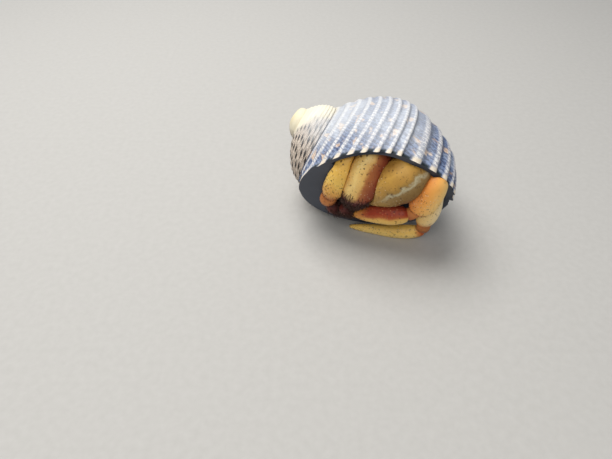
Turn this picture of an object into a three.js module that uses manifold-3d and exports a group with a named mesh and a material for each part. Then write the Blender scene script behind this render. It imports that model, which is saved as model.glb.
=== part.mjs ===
// Pacific land hermit crab, half drawn into a ribbed nerite shell.
// Millimetres, +Z up, floor at Z = 0. The animal faces -Y; its own left side is towards +X.
import * as THREE from 'three';
import { mergeVertices } from 'three/addons/utils/BufferGeometryUtils.js';
import Module from 'manifold-3d';

const wasm = await Module();
wasm.setup();

const rad = THREE.MathUtils.degToRad;
const TOUCH_GAP = 0.3;      // air left between pieces that touch

// ---------------------------------------------------------------- driving sizes
// The shell grows as a spiral about its own Z axis: each full turn it is
// WHORL_GROWTH times larger. Section sizes are in shell radii.
const SHELL = {
  radius: 17.4,          // coil axis to the widest point of the whorl at turn angle 0
  whorlGrowth: 2.62,
  turns: 2.6,            // whorls before turn angle 0
  lipAngle: rad(69),     // how far the last whorl runs past turn angle 0
  ringCentre: 0.522,     // whorl section: centre from the axis,
  ringDrop: 0.868,       //   centre below the apex,
  ringUp: 0.370,         //   half height towards the spire
  ringDown: 0.894,       //   and towards the base,
  ringSlope: 0.583,      //   fall of the shoulder for each unit outwards,
  ringPower: 0.90,       //   below 1 squares the section a little
  ribs: 30,              // spiral cords round the whole section
  ribHeight: 0.36,
  wall: 1.05,
  turn: [rad(-40.6), rad(-49.4), rad(-77.6)],
  place: [-13.82, 8.155, 15.98],   // the apex, before it is worn down
  wornAway: 1.6,         // height of the apex lost to wear
};
const OUTSIDE_STEP = rad(24);
// The hollow reaches back three quarters of a turn and is swept a little past the mouth.
const HOLLOW = { from: -1.5 * Math.PI, pastMouth: 0.2, sides: 20, step: rad(26) };
// The mouth lies in one plane; the whorl beyond it is left off.
const MOUTH = { normal: [-0.211, -0.950, -0.231], through: [0.16, -7.785, 9.72] };
// The flat callus that closes the inner half of the mouth, and the rim round it.
const CALLUS = {
  halfWide: 12.6, halfHigh: 8.8, halfDeep: 8.4, tilt: rad(12), thick: 1.3, sides: 24, rings: 12,
  edgeFrom: [-6.67, -7.815, 15.6], edgeTo: [6.33, -7.015, 1.1],
};

// Limb pieces run through two to five points. `wide` lies across the front of
// the animal and `deep` along OUTWARDS, both at even steps from root to tip. A
// palm runs on into its fixed finger, and a dactyl is the movable finger or the toe.
const OUTWARDS = [0, -0.85, 0.53];
const LIMBS = {
  left_cheliped: {
    merus: { path: [[2.13, -2.72, 10.2], [5.03, -4.92, 12.6]], wide: [2.4, 3.2, 3.0], deep: [2.2, 2.8, 2.8] },
    carpus: { path: [[5.43, -5.31, 13.0], [7.83, -7.51, 14.8]], wide: [3.0, 4.6, 4.8], deep: [2.8, 3.6, 3.6] },
    palm: { path: [[9.0, -8.31, 16.5], [6.8, -9.82, 16.1], [4.1, -10.52, 14.6], [1.8, -10.12, 12.0], [-0.5, -8.71, 8.6]],
      wide: [5.0, 6.8, 7.4, 7.2, 6.0, 4.0, 1.9], deep: [3.0, 4.0, 4.6, 4.6, 3.8, 2.6, 1.4] },
    dactyl: { path: [[1.9, -7.71, 9.0], [0.3, -7.01, 6.9], [-1.3, -6.51, 5.4]],
      wide: [2.6, 2.4, 1.7, 0.8], deep: [2.2, 2.0, 1.4, 0.8] },
  },
  right_cheliped: {
    merus: { path: [[-0.17, -0.32, 11.0], [-0.77, -2.72, 13.5]], wide: [2.2, 2.8, 2.8], deep: [2.0, 2.6, 2.6] },
    carpus: { path: [[-1.0, -3.31, 13.8], [-0.3, -5.21, 16.4]], wide: [2.6, 3.3, 3.5], deep: [2.4, 3.0, 3.0] },
    palm: { path: [[0.95, -6.11, 18.3], [0.28, -7.51, 17.4], [-1.21, -8.71, 14.0], [-2.46, -8.82, 10.2], [-2.85, -7.71, 6.9]],
      wide: [4.2, 5.6, 5.9, 5.9, 5.6, 4.4, 2.2], deep: [2.6, 3.4, 3.8, 3.8, 3.4, 2.6, 1.6] },
    dactyl: { path: [[-4.6, -8.42, 7.5], [-3.6, -8.02, 6.1], [-1.9, -7.51, 4.9]],
      wide: [2.2, 2.1, 1.6, 0.9], deep: [1.9, 1.8, 1.4, 0.8] },
  },
  left_leg_2: {
    merus: { path: [[3.43, -1.11, 11.0], [7.63, -3.92, 12.0]], wide: [2.0, 2.6, 2.6], deep: [1.6, 2.0, 2.0] },
    carpus: { path: [[8.03, -4.42, 12.2], [9.43, -7.51, 13.7]], wide: [2.6, 3.2, 3.2], deep: [1.8, 2.2, 2.2] },
    propodus: { path: [[10.0, -10.02, 15.9], [9.3, -11.82, 14.6], [8.2, -12.21, 12.0], [7.0, -11.62, 9.0]],
      wide: [2.6, 3.5, 4.1, 4.4, 4.0], deep: [2.2, 2.6, 2.8, 2.8, 2.5] },
    dactyl: { path: [[6.0, -11.42, 8.1], [2.6, -10.52, 7.4], [-0.7, -9.12, 6.4], [-3.4, -7.71, 5.3]],
      wide: [3.2, 3.5, 3.2, 2.4, 1.0], deep: [2.4, 2.5, 2.2, 1.6, 0.8] },
  },
  left_leg_3: {
    merus: { path: [[2.63, -1.31, 8.7], [6.63, -4.12, 9.0]], wide: [1.8, 2.4, 2.4], deep: [1.6, 1.8, 1.8] },
    carpus: { path: [[7.13, -4.51, 9.2], [9.63, -7.31, 11.3]], wide: [2.2, 2.8, 2.8], deep: [1.6, 2.0, 2.0] },
    propodus: { path: [[10.1, -9.71, 13.3], [9.7, -10.71, 11.4], [9.5, -10.71, 8.4], [9.1, -9.92, 4.6]],
      wide: [2.4, 3.1, 3.5, 3.5, 3.2], deep: [1.8, 2.2, 2.4, 2.4, 2.2] },
    dactyl: { path: [[10.0, -8.62, 2.0], [5.2, -7.92, 1.05], [1.0, -7.01, 0.8], [-2.87, -5.92, 0.42]],
      wide: [2.8, 2.8, 2.4, 1.9, 1.5, 0.9], deep: [2.4, 2.2, 2.0, 1.7, 1.3, 0.8] },
  },
  right_leg_2: {
    merus: { path: [[-0.97, -0.72, 9.9], [-3.97, -2.31, 11.9]], wide: [2.0, 2.6, 2.6], deep: [1.6, 2.0, 2.0] },
    carpus: { path: [[-3.9, -2.12, 12.9], [-2.5, -4.51, 16.2]], wide: [2.4, 2.8, 3.0], deep: [1.8, 2.0, 2.0] },
    propodus: { path: [[-2.3, -5.51, 17.3], [-3.3, -6.81, 16.5], [-4.9, -8.02, 14.2], [-6.2, -8.12, 11.0], [-6.85, -7.51, 8.6]],
      wide: [2.6, 3.6, 4.0, 4.0, 3.8, 3.0], deep: [2.0, 2.6, 2.8, 2.8, 2.8, 2.4] },
    dactyl: { path: [[-6.8, -7.01, 6.9], [-5.5, -7.11, 5.6], [-3.2, -6.71, 4.4]],
      wide: [2.4, 2.3, 1.7, 1.1, 0.6], deep: [2.1, 1.9, 1.4, 1.0, 0.6] },
  },
  right_leg_3: {
    merus: { path: [[-1.87, -0.11, 8.6], [-4.57, -0.52, 9.2]], wide: [1.8, 2.2, 2.2], deep: [1.6, 1.8, 1.8] },
    carpus: { path: [[-4.97, -0.92, 9.3], [-6.37, -2.72, 10.2]], wide: [2.0, 2.4, 2.4], deep: [1.6, 1.8, 1.8] },
    propodus: { path: [[-6.37, -3.22, 10.0], [-5.97, -3.52, 8.6], [-5.37, -2.92, 7.2]],
      wide: [2.0, 2.2, 2.2, 1.8], deep: [1.4, 1.6, 1.6, 1.4] },
    dactyl: { path: [[-5.17, -2.52, 6.6], [-3.37, -2.72, 5.6], [-0.37, -3.12, 5.2]],
      wide: [1.6, 1.5, 1.2, 0.9, 0.6], deep: [1.4, 1.4, 1.1, 0.8, 0.6] },
  },
};
const VISIBLE_DETAIL = { sides: 10, rings: 8 };
const HIDDEN_DETAIL = { sides: 8, rings: 6 };
const END_BLUNTNESS = 4;
const END_GROWTH_POWER = 8;   // a piece grown for its neighbours' gap is lengthened at its very ends only

// The head and body lie behind the mouth, back upwards.
const UPWARDS = [0, 0, 1];
const HEAD_AND_BODY = {
  left_eye: { path: [[4.1, -5.81, 14.9], [4.4, -7.01, 15.1]], wide: [0.8, 1.1, 0.8], deep: [0.8, 1.1, 0.8] },
  right_eye: { path: [[2.4, -5.81, 15.0], [2.5, -7.01, 15.2]], wide: [0.8, 1.1, 0.8], deep: [0.8, 1.1, 0.8] },
  left_eyestalk: { path: [[2.5, -3.12, 14.2], [4.0, -5.42, 14.8]], wide: [1.1, 0.8, 0.9], deep: [0.9, 0.7, 0.8] },
  right_eyestalk: { path: [[1.5, -3.12, 14.2], [2.3, -5.42, 14.9]], wide: [1.1, 0.8, 0.9], deep: [0.9, 0.7, 0.8] },
  shield: { path: [[1.63, -3.31, 13.2], [1.83, 2.69, 14.8]], wide: [4.0, 5.4, 6.4, 6.0], deep: [1.4, 2.4, 2.8, 2.0],
    facing: UPWARDS },
  thorax: { path: [[1.43, -2.12, 10.6], [2.03, 3.28, 12.2]], wide: [3.4, 4.4, 5.0, 4.8], deep: [2.2, 3.2, 3.4, 3.0],
    facing: UPWARDS },
  left_antenna: { path: [[3.23, -3.31, 14.4], [5.23, -4.31, 15.8], [7.43, -4.92, 16.2], [9.03, -4.92, 15]],
    wide: [1.3, 1.0, 0.7, 0.6, 0.6], deep: [1.2, 0.9, 0.7, 0.6, 0.6] },
  right_antenna: { path: [[1.0, -3.12, 14.9], [0.2, -2.72, 16.2], [-1.2, -2.12, 16.8], [-2.8, -1.71, 16.2]],
    wide: [1.3, 1.0, 0.7, 0.6, 0.6], deep: [1.2, 0.9, 0.7, 0.6, 0.6] },
  left_maxilliped: { path: [[2.63, -4.31, 10.8], [2.83, -6.51, 11.4], [2.43, -7.51, 12.8]], wide: [1.4, 1.2, 0.8],
    deep: [1.3, 1.1, 0.7] },
  right_maxilliped: { path: [[0.83, -4.31, 11], [1.03, -6.51, 11.8], [1.23, -7.31, 13.2]], wide: [1.4, 1.2, 0.8],
    deep: [1.3, 1.1, 0.7] },
};
// The soft abdomen follows the coil of the shell, in two lengths.
const ABDOMEN = {
  from: -1.34 * Math.PI, joint: -0.88 * Math.PI, to: -0.52 * Math.PI, slack: rad(4),
  clearance: 1.4, sides: 12, step: rad(30),
};

// ---------------------------------------------------------------- solids
function toSolid(geometry) {
  const bare = geometry.clone();
  bare.deleteAttribute('normal');
  bare.deleteAttribute('uv');
  const merged = mergeVertices(bare, 1e-4);
  return new wasm.Manifold(new wasm.Mesh({
    numProp: 3,
    vertProperties: new Float32Array(merged.attributes.position.array),
    triVerts: new Uint32Array(merged.index.array),
  }));
}

function toGeometry(solid) {
  const mesh = solid.getMesh();
  const geometry = new THREE.BufferGeometry();
  geometry.setAttribute('position', new THREE.BufferAttribute(mesh.vertProperties, 3));
  geometry.setIndex(new THREE.BufferAttribute(mesh.triVerts, 1));
  geometry.computeVertexNormals();
  return geometry;
}

// Every vertex of a closed three.js geometry is moved by the same rule.
function reshaped(geometry, rule) {
  const position = geometry.attributes.position;
  const point = new THREE.Vector3();
  for (let i = 0; i < position.count; i += 1) {
    point.fromBufferAttribute(position, i);
    const moved = rule(point);
    position.setXYZ(i, moved.x, moved.y, moved.z);
  }
  return geometry;
}

function largestBody(solid) {
  const bodies = solid.decompose();
  return bodies.reduce((best, body) => (body.volume() > best.volume() ? body : best));
}

// A block that fills the space in front of a plane.
function blockBeyond(normal, through, ahead = 0) {
  const size = 120;
  const facing = new THREE.Vector3(...normal).normalize();
  const block = new THREE.BoxGeometry(size, size, size);
  block.translate(0, 0, size / 2 + ahead);
  block.applyQuaternion(new THREE.Quaternion().setFromUnitVectors(new THREE.Vector3(0, 0, 1), facing));
  block.translate(...through);
  return toSolid(block);
}

// ---------------------------------------------------------------- the shell
const shellPlace = new THREE.Matrix4().makeRotationFromEuler(new THREE.Euler(...SHELL.turn));
shellPlace.setPosition(...SHELL.place);

function signedPower(x, power) {
  return Math.sign(x) * Math.abs(x) ** power;
}

// A point of the whorl: turn angle, angle round the section, and how far from
// the section's centre (1 on the surface). `inset` thins it for the hollow.
function whorlPoint(turn, around, reach, inset, ribbed) {
  const growth = Math.log(SHELL.whorlGrowth) / (2 * Math.PI);
  const scale = Math.exp(growth * turn);
  const groove = ribbed ? SHELL.ribHeight * 0.5 * (1 + Math.cos(SHELL.ribs * around)) : 0;
  const shrink = groove / SHELL.radius + inset / (SHELL.radius * scale);
  const halfWide = 1 - SHELL.ringCentre - shrink;
  const halfHigh = (Math.sin(around) > 0 ? SHELL.ringUp : SHELL.ringDown) - shrink;
  const out = SHELL.ringCentre + reach * halfWide * signedPower(Math.cos(around), SHELL.ringPower);
  const slope = SHELL.ringSlope * (out - SHELL.ringCentre);
  const up = -SHELL.ringDrop + reach * halfHigh * signedPower(Math.sin(around), SHELL.ringPower) - slope;
  return new THREE.Vector3(
    SHELL.radius * scale * out * Math.cos(turn),
    -SHELL.radius * scale * out * Math.sin(turn),
    SHELL.radius * scale * up,
  ).applyMatrix4(shellPlace);
}

// One stretch of whorl, less than a full turn: a capped cylinder bent to the spiral.
function whorlStretch(from, to, sides, steps, inset, ribbed) {
  const tube = new THREE.CylinderGeometry(1, 1, 1, sides, steps);
  return toSolid(reshaped(tube, (p) => {
    const reach = Math.hypot(p.x, p.z);
    const around = Math.atan2(-p.z, p.x);
    const turn = THREE.MathUtils.lerp(from, to, 0.5 + p.y);
    return whorlPoint(turn, around, reach, inset, ribbed);
  }));
}

function whorls(from, to, sides, stepAngle, inset, ribbed) {
  const stretches = Math.ceil((to - from) / Math.PI);
  const length = (to - from) / stretches;
  const steps = Math.ceil(length / stepAngle);
  let body = null;
  for (let i = 0; i < stretches; i += 1) {
    const piece = whorlStretch(from + i * length, from + (i + 1) * length, sides, steps, inset, ribbed);
    body = body ? body.add(piece) : piece;
  }
  return body;
}

// The callus side of the body whorl: half an ellipsoid standing on the mouth plane.
function callusDome(inset) {
  const normal = new THREE.Vector3(...MOUTH.normal).normalize();
  const across = new THREE.Vector3(-normal.y, normal.x, 0).normalize();
  const upwards = new THREE.Vector3().crossVectors(normal, across).normalize();
  const axes = new THREE.Matrix4().makeBasis(across, upwards, normal);
  const dome = new THREE.SphereGeometry(1, CALLUS.sides, CALLUS.rings);
  dome.scale(CALLUS.halfWide - inset, CALLUS.halfHigh - inset, CALLUS.halfDeep - inset);
  dome.rotateZ(CALLUS.tilt);
  dome.applyMatrix4(axes);
  dome.translate(...MOUTH.through);
  return toSolid(dome);
}

// The deck is a shelf just behind the mouth plane, on the inner side of a straight edge.
function callusDeck(clearance) {
  const from = new THREE.Vector3(...CALLUS.edgeFrom);
  const to = new THREE.Vector3(...CALLUS.edgeTo);
  const normal = new THREE.Vector3(...MOUTH.normal).normalize();
  const outward = normal.clone().cross(to.sub(from)).normalize();
  const beyondEdge = blockBeyond(outward.toArray(), CALLUS.edgeFrom, clearance);
  const behind = blockBeyond(normal.clone().negate().toArray(), MOUTH.through, CALLUS.thick + clearance);
  return { beyondEdge, behind };
}

// The open space: the hollow of the last whorls with all that is ahead of the mouth.
function openSpace(clearance) {
  const inset = SHELL.wall + clearance;
  const hollow = whorls(HOLLOW.from, SHELL.lipAngle + HOLLOW.pastMouth, HOLLOW.sides, HOLLOW.step, inset, false);
  const room = hollow.add(callusDome(inset));
  const deck = callusDeck(clearance);
  const front = blockBeyond(MOUTH.normal, MOUTH.through, clearance);
  return room.intersect(deck.beyondEdge).add(room.intersect(deck.behind)).add(front);
}

function makeShell() {
  const start = -2 * Math.PI * SHELL.turns;
  const outside = whorls(start, SHELL.lipAngle, 2 * SHELL.ribs, OUTSIDE_STEP, 0, true);
  const coilAxis = new THREE.Vector3(0, 0, 1).transformDirection(shellPlace);
  const wornFace = new THREE.Vector3(...SHELL.place).addScaledVector(coilAxis, -SHELL.wornAway);
  const worn = outside.subtract(blockBeyond(coilAxis.toArray(), wornFace.toArray()));
  return largestBody(worn.add(callusDome(0)).subtract(openSpace(0)));
}

// ---------------------------------------------------------------- limbs and body
// A value read from a list that is spread evenly from 0 to 1.
function alongList(list, at) {
  const place = THREE.MathUtils.clamp(at, 0, 1) * (list.length - 1);
  const low = Math.min(Math.floor(place), list.length - 2);
  return THREE.MathUtils.lerp(list[low], list[low + 1], place - low);
}

// A blunt-ended limb piece: a sphere drawn out along a smooth path, with its
// width and depth taken from the lists. `grow` makes it thicker on every side.
function limbSolid({ path, wide, deep, facing = OUTWARDS }, detail, grow = 0) {
  const points = path.map((p) => new THREE.Vector3(...p));
  const curve = points.length > 2 ? new THREE.CatmullRomCurve3(points) : new THREE.LineCurve3(...points);
  const ball = new THREE.SphereGeometry(1, detail.sides, detail.rings);
  return toSolid(reshaped(ball, (p) => {
    const at = THREE.MathUtils.clamp(0.5 - p.y / 2, 0, 1);
    const centre = curve.getPointAt(at);
    const ahead = curve.getTangentAt(at);
    const across = new THREE.Vector3(...facing).cross(ahead).normalize();
    const front = ahead.clone().cross(across).normalize();
    const ring = Math.hypot(p.x, p.z);
    const blunt = ring > 0 ? (1 - Math.abs(p.y) ** END_BLUNTNESS) ** (1 / END_BLUNTNESS) / ring : 0;
    const end = signedPower(p.y, END_GROWTH_POWER);
    return centre
      .addScaledVector(across, p.x * blunt * (alongList(wide, at) / 2 + grow))
      .addScaledVector(front, p.z * blunt * (alongList(deep, at) / 2 + grow))
      .addScaledVector(ahead, -end * grow);
  }));
}

// ---------------------------------------------------------------- assembly
const group = new THREE.Group();
const floor = blockBeyond([0, 0, -1], [MOUTH.through[0], MOUTH.through[1], 0]);
const crabSpace = openSpace(TOUCH_GAP);
const placed = [];

function addPiece(name, solid, colour, roughness) {
  const material = new THREE.MeshStandardMaterial({ color: colour, roughness, metalness: 0 });
  const mesh = new THREE.Mesh(toGeometry(solid), material);
  mesh.name = name;
  group.add(mesh);
  return mesh;
}

function boxesMeet(a, b) {
  return [0, 1, 2].every((i) => a.min[i] < b.max[i] && b.min[i] < a.max[i]);
}

// A soft or jointed piece gives way to the shell, the floor and the pieces before it.
function fitPiece(name, shape, colour, roughness) {
  let solid = shape(0).intersect(crabSpace).subtract(floor);
  for (const other of placed) {
    if (boxesMeet(solid.boundingBox(), other.boundingBox())) solid = solid.subtract(other);
  }
  placed.push(shape(TOUCH_GAP));
  addPiece(name, largestBody(solid), colour, roughness);
}

addPiece('shell', makeShell().subtract(floor), 0xd8d8dc, 0.6);

const SEGMENT_COLOUR = { merus: 0xc8a060, carpus: 0xd89848, propodus: 0xe8b058, palm: 0xb89848, dactyl: 0xb85838 };
const FIT_ORDER = ['right_cheliped', 'left_leg_2', 'left_leg_3', 'right_leg_2', 'left_cheliped', 'right_leg_3'];
const SEGMENT_ORDER = ['dactyl', 'palm', 'propodus', 'carpus', 'merus'];
const INNER_SEGMENTS = ['carpus', 'merus'];

for (const segment of SEGMENT_ORDER) {
  for (const limb of FIT_ORDER) {
    const size = LIMBS[limb][segment];
    const detail = INNER_SEGMENTS.includes(segment) || limb === 'right_leg_3' ? HIDDEN_DETAIL : VISIBLE_DETAIL;
    if (size) fitPiece(`${limb}_${segment}`, (grow) => limbSolid(size, detail, grow), SEGMENT_COLOUR[segment], 0.5);
  }
}

for (const [name, size] of Object.entries(HEAD_AND_BODY)) {
  fitPiece(name, (grow) => limbSolid(size, HIDDEN_DETAIL, grow), name.endsWith('eye') ? 0x181414 : 0xc08850, 0.5);
}

function abdomenLength(from, to) {
  return whorls(from, to, ABDOMEN.sides, ABDOMEN.step, SHELL.wall + ABDOMEN.clearance, false);
}
fitPiece('abdomen_front', () => abdomenLength(ABDOMEN.joint + ABDOMEN.slack, ABDOMEN.to), 0xc89078, 0.6);
fitPiece('abdomen_rear', () => abdomenLength(ABDOMEN.from, ABDOMEN.joint - ABDOMEN.slack), 0xc89078, 0.6);

// The origin is the middle of the footprint, on the floor.
const middle = new THREE.Box3().setFromObject(group).getCenter(new THREE.Vector3());
group.position.set(-middle.x, -middle.y, 0);

export default group;
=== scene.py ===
"""A land hermit crab drawn back into a ribbed nerite shell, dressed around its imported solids."""
import math

import bmesh
import bpy
import numpy as np
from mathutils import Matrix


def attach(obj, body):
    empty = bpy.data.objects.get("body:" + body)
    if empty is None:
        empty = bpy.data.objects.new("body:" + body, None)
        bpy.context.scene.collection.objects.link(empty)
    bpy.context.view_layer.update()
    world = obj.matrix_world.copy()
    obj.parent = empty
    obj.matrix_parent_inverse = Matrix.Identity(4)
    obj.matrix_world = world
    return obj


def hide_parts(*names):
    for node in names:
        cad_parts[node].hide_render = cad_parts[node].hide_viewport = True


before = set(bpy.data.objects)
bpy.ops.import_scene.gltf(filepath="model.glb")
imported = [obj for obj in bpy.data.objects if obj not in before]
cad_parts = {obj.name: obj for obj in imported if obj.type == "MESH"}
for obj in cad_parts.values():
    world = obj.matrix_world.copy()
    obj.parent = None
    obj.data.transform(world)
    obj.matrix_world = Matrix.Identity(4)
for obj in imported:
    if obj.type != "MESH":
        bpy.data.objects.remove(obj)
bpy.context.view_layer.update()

MM = 0.001


# ---------------------------------------------------------------- the studio
# The view from above and in front, a plain pale floor that the shell and one
# leg rest on, and soft light from a wide sky panel with a weaker panel in front.
CAMERA_PLACE = (-0.010854, -0.07177, 0.06308)
CAMERA_TILT = math.radians(46.0)
CAMERA_LENS = 29.41
FLOOR_REACH, FLOOR_POINTS = 0.6, 13
camera = bpy.data.objects.new("camera", bpy.data.cameras.new("camera"))
camera.data.sensor_width = 36.0
camera.data.lens = CAMERA_LENS
camera.data.clip_start = 0.002
camera.location = CAMERA_PLACE
camera.rotation_euler = (CAMERA_TILT, 0.0, 0.0)
bpy.context.scene.collection.objects.link(camera)
bpy.context.scene.camera = camera
bpy.context.scene.view_settings.view_transform = "Standard"


def add(tree, kind, inputs=(), **settings):
    """A shader node with its settings made and its inputs set to values or joined to other sockets."""
    made = tree.nodes.new("ShaderNode" + kind)
    for key, value in settings.items():
        setattr(made, key, value)
    for key, value in dict(inputs).items():
        if isinstance(value, bpy.types.NodeSocket):
            tree.links.new(value, made.inputs[key])
        else:
            made.inputs[key].default_value = value
    return made


def new_material(name, **constants):
    """A material with one Principled BSDF, whose unvarying values are set on its own sockets."""
    material = bpy.data.materials.new(name)
    material.use_nodes = True
    shader = material.node_tree.nodes["Principled BSDF"]
    for key, value in constants.items():
        shader.inputs[key.replace("_", " ")].default_value = value
    return material, material.node_tree, shader


def light_panel(name, place, aim, size, power, colour):
    """A square soft light at a place, turned to a point."""
    panel = bpy.data.objects.new(name, bpy.data.lights.new(name, "AREA"))
    panel.data.shape = "SQUARE"
    panel.data.size = size
    panel.data.energy = power
    panel.data.color = colour
    direction = np.array(aim) - np.array(place)
    flat = math.hypot(direction[0], direction[1])
    panel.location = place
    panel.rotation_euler = (math.atan2(flat, -direction[2]), 0.0, math.atan2(-direction[0], direction[1]))
    bpy.context.scene.collection.objects.link(panel)


light_panel("sky_panel", (-0.08, 0.08, 0.26), (0.0, 0.0, 0.01), 0.20, 0.94, (1.0, 0.99, 0.97))
light_panel("front_panel", (-0.06, -0.22, 0.24), (0.0, 0.0, 0.01), 0.20, 0.42, (1.0, 0.97, 0.92))

world = bpy.data.worlds.new("pale_room")
bpy.context.scene.world = world
world.use_nodes = True
world.node_tree.nodes["Background"].inputs["Color"].default_value = (0.80, 0.84, 0.90, 1.0)
world.node_tree.nodes["Background"].inputs["Strength"].default_value = 0.24

span = np.linspace(-FLOOR_REACH, FLOOR_REACH, FLOOR_POINTS)
floor_x, floor_y = np.meshgrid(span, span)
floor_points = np.stack([floor_x, floor_y, np.zeros_like(floor_x)], -1).reshape(-1, 3)
corner = np.arange(FLOOR_POINTS ** 2).reshape(FLOOR_POINTS, FLOOR_POINTS)[:-1, :-1].reshape(-1)
floor_faces = np.stack([corner, corner + 1, corner + FLOOR_POINTS + 1, corner + FLOOR_POINTS], -1)
floor_mesh = bpy.data.meshes.new("floor")
floor_mesh.from_pydata(floor_points.tolist(), [], floor_faces.tolist())
floor = bpy.data.objects.new("floor", floor_mesh)
bpy.context.scene.collection.objects.link(floor)
floor_paint, tree, shader = new_material("pale_floor", Roughness=0.85)
speckle = add(tree, "TexNoise", {"Scale": 900.0, "Detail": 3.0})
tree.links.new(add(tree, "TexCoord").outputs["Object"], speckle.inputs["Vector"])
tone = add(tree, "Mix", {"Factor": speckle.outputs["Fac"], "A": (0.43, 0.42, 0.40, 1),
                         "B": (0.49, 0.48, 0.46, 1)},
           data_type="RGBA")
tree.links.new(tone.outputs["Result"], shader.inputs["Base Color"])
floor.data.materials.append(floor_paint)


# ---------------------------------------------------------------- the shell
# One empty sea snail shell of chalk-like aragonite, coiled to the right, with
# rounded spiral ribs, a scalloped lip and a flat deck in its mouth; the deck and
# the inside of the shell are painted dark grey-blue as shade. It is one piece,
# and the crab only holds on inside it.
SHELL_RADIUS = 17.4
WHORL_GROWTH = 2.62
SHELL_TURNS = 2.6
LIP_ANGLE = math.radians(69.0)
RING_CENTRE = 0.522
RING_DROP = 0.868
RING_UP, RING_DOWN = 0.370, 0.894
RING_SLOPE = 0.583
RING_POWER = 0.90
RIBS = 30
RIB_HEIGHT = 0.36
SHELL_WALL = 1.05
SHELL_TURN = np.radians([-40.6, -49.4, -77.6])
SHELL_PLACE = np.array([-13.904, 8.10, 15.98])
APEX_WORN = 1.6
TIP_DOME = 0.35
MOUTH_NORMAL = np.array([-0.211, -0.950, -0.231]) / np.linalg.norm([-0.211, -0.950, -0.231])
MOUTH_CENTRE = np.array([0.076, -7.84, 9.72])
CALLUS_HALF = np.array([12.6, 8.8, 8.4])
CALLUS_TILT = math.radians(12.0)
DECK_THICK = 1.3
DECK_EDGE = np.array([[-6.754, -7.87, 15.6], [6.246, -7.07, 1.1]])
SCALLOP = 0.45
BLOCK_SIZE = 120
LIP_DEPTH = 0.9
LIP_REACH = (0.92, 1.06)
SURFACE_BAND, BAND_EDGE = 0.075, 0.02
INSIDE_MOUTH = 0.93


def turned(angles):
    """The matrix that turns about X, then Y, then Z of the moving axes."""
    (sx, sy, sz), (cx, cy, cz) = np.sin(angles), np.cos(angles)
    about_x = np.array([[1, 0, 0], [0, cx, -sx], [0, sx, cx]])
    about_y = np.array([[cy, 0, sy], [0, 1, 0], [-sy, 0, cy]])
    about_z = np.array([[cz, -sz, 0], [sz, cz, 0], [0, 0, 1]])
    return about_x @ about_y @ about_z


COIL_AXES = turned(SHELL_TURN)
GROWTH_RATE = math.log(WHORL_GROWTH) / (2 * math.pi)


def signed_power(value, power):
    """The value's size raised to a power, with its sign kept."""
    return np.sign(value) * np.abs(value) ** power


def groove_depth(around):
    """How deep the surface lies between two ribs: a raised cosine, 0 on a rib and RIB_HEIGHT between."""
    return RIB_HEIGHT * 0.5 * (1 + np.cos(RIBS * around))


def coil_point(turn, around, reach=1.0, inset=0.0, ribbed=False):
    """A point of the whorl in mm: an oval section of angle `around`, leaned by RING_SLOPE, is carried
    round the coil's axis by the angle `turn` while its size grows as the exponential of the turn."""
    scale = np.exp(GROWTH_RATE * turn)
    shrink = inset / (SHELL_RADIUS * scale) + (groove_depth(around) / SHELL_RADIUS if ribbed else 0)
    half_wide = 1 - RING_CENTRE - shrink
    half_high = np.where(np.sin(around) > 0, RING_UP, RING_DOWN) - shrink
    out = RING_CENTRE + reach * half_wide * signed_power(np.cos(around), RING_POWER)
    up = reach * half_high * signed_power(np.sin(around), RING_POWER)
    up = up - RING_DROP - RING_SLOPE * (out - RING_CENTRE)
    size = SHELL_RADIUS * scale
    local = np.stack([size * out * np.cos(turn), -size * out * np.sin(turn), size * up], -1)
    return local @ COIL_AXES.T + SHELL_PLACE


def coil_sections(points, whorls, last_turn=math.inf):
    """For each whorl, counted from the last one, 0: the turn at which each point in mm lies, the size of
    the whorl there, and the point's place out and up from the section's centre as shares of that size.
    A point past `last_turn` is taken one turn back."""
    local = (points - SHELL_PLACE) @ COIL_AXES
    angle = np.arctan2(-local[:, 1], local[:, 0])
    flat = np.hypot(local[:, 0], local[:, 1])
    for whorl in whorls:
        turn = angle + 2 * math.pi * whorl
        turn = np.where(turn > last_turn, turn - 2 * math.pi, turn)
        size = SHELL_RADIUS * np.exp(GROWTH_RATE * turn)
        away = flat / size - RING_CENTRE
        yield turn, size, away, local[:, 2] / size + RING_DROP + RING_SLOPE * away


def coil_place(points):
    """The way back: for points in mm, the turn, the angle round the section and the reach (1 on the
    surface) of the whorl whose surface lies nearest, and the reach in the last whorl alone."""
    found = []
    for turn, size, away, rise in coil_sections(points, range(-3, 1), LIP_ANGLE + 0.6):
        wide = signed_power(away / (1 - RING_CENTRE), 1 / RING_POWER)
        high = signed_power(rise / np.where(rise > 0, RING_UP, RING_DOWN), 1 / RING_POWER)
        found.append([turn, np.arctan2(high, wide), np.hypot(wide, high) ** RING_POWER])
    found = np.array(found)
    nearest = np.abs(found[:, 2] - 1).argmin(0)
    best = found[nearest, :, np.arange(len(points))]
    return best[:, 0], best[:, 1], best[:, 2], found[3, 2]


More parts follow.
